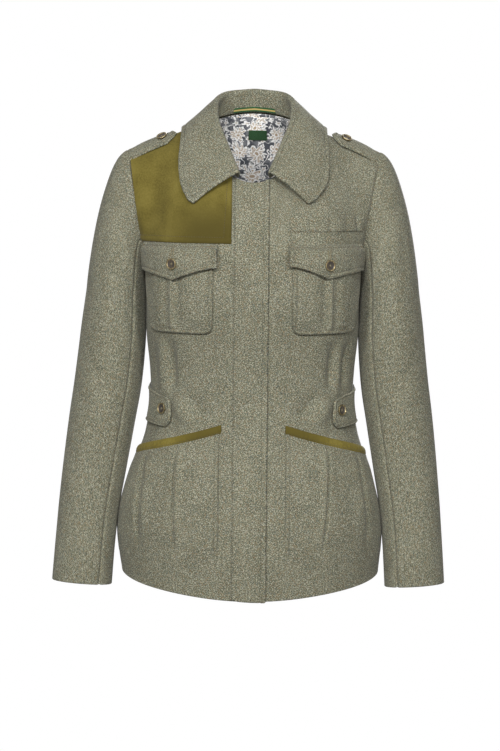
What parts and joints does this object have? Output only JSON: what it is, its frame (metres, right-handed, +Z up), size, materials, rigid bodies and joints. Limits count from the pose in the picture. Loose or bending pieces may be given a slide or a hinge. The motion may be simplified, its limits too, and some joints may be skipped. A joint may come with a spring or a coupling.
{
  "type": "stalking jacket",
  "caption": "Women's tweed stalking jacket, filled out: flat collar, fly front, suede gun patch, epaulettes, pleated chest pockets, bound hip pockets, waist tabs.",
  "frame": {"origin": "midway between the two neck points, where the shoulder seams meet the collar and the shoulders carry the jacket", "axes": "+Z up along the centre back, +X towards the wearer's left, -Y towards the front"},
  "size_m": [0.5822, 0.2569, 0.7322],
  "materials": {
    "right_front": "napped wool tweed",
    "left_front": "napped wool tweed",
    "back": "napped wool tweed",
    "fly_band": "napped wool tweed",
    "collar": "napped wool tweed",
    "shoulder_patch": "suede",
    "cartridge_loops": "napped wool tweed",
    "back_lining": "printed satin lining",
    "neck_label": "woven label, plain",
    "hanger_loop": "striped woven tape",
    "right_upper_sleeve": "napped wool tweed",
    "right_under_sleeve": "napped wool tweed",
    "right_epaulette": "napped wool tweed",
    "right_chest_pocket": "napped wool tweed",
    "right_chest_flap": "napped wool tweed",
    "right_waist_tab": "napped wool tweed",
    "right_hip_pocket": "napped wool tweed",
    "right_hip_binding": "suede",
    "right_epaulette_button": "polished horn look with a metal rim",
    "right_chest_button": "polished horn look with a metal rim",
    "right_tab_button": "polished horn look with a metal rim",
    "left_upper_sleeve": "napped wool tweed",
    "left_under_sleeve": "napped wool tweed",
    "left_epaulette": "napped wool tweed",
    "left_chest_pocket": "napped wool tweed",
    "left_chest_flap": "napped wool tweed",
    "left_waist_tab": "napped wool tweed",
    "left_hip_pocket": "napped wool tweed",
    "left_hip_binding": "suede",
    "left_epaulette_button": "polished horn look with a metal rim",
    "left_chest_button": "polished horn look with a metal rim",
    "left_tab_button": "polished horn look with a metal rim"
  },
  "bodies": {
    "root": {"right_front": "right_front", "left_front": "left_front", "back": "back", "fly_band": "fly_band", "collar": "collar", "shoulder_patch": "shoulder_patch", "cartridge_loops": "cartridge_loops", "back_lining": "back_lining", "neck_label": "neck_label", "hanger_loop": "hanger_loop", "right_upper_sleeve": "right_upper_sleeve", "right_under_sleeve": "right_under_sleeve", "right_epaulette": "right_epaulette", "right_chest_pocket": "right_chest_pocket", "right_chest_flap": "right_chest_flap", "right_waist_tab": "right_waist_tab", "right_hip_pocket": "right_hip_pocket", "right_hip_binding": "right_hip_binding", "right_epaulette_button": "right_epaulette_button", "right_chest_button": "right_chest_button", "right_tab_button": "right_tab_button", "left_upper_sleeve": "left_upper_sleeve", "left_under_sleeve": "left_under_sleeve", "left_epaulette": "left_epaulette", "left_chest_pocket": "left_chest_pocket", "left_chest_flap": "left_chest_flap", "left_waist_tab": "left_waist_tab", "left_hip_pocket": "left_hip_pocket", "left_hip_binding": "left_hip_binding", "left_epaulette_button": "left_epaulette_button", "left_chest_button": "left_chest_button", "left_tab_button": "left_tab_button"}
  },
  "joints": []
}
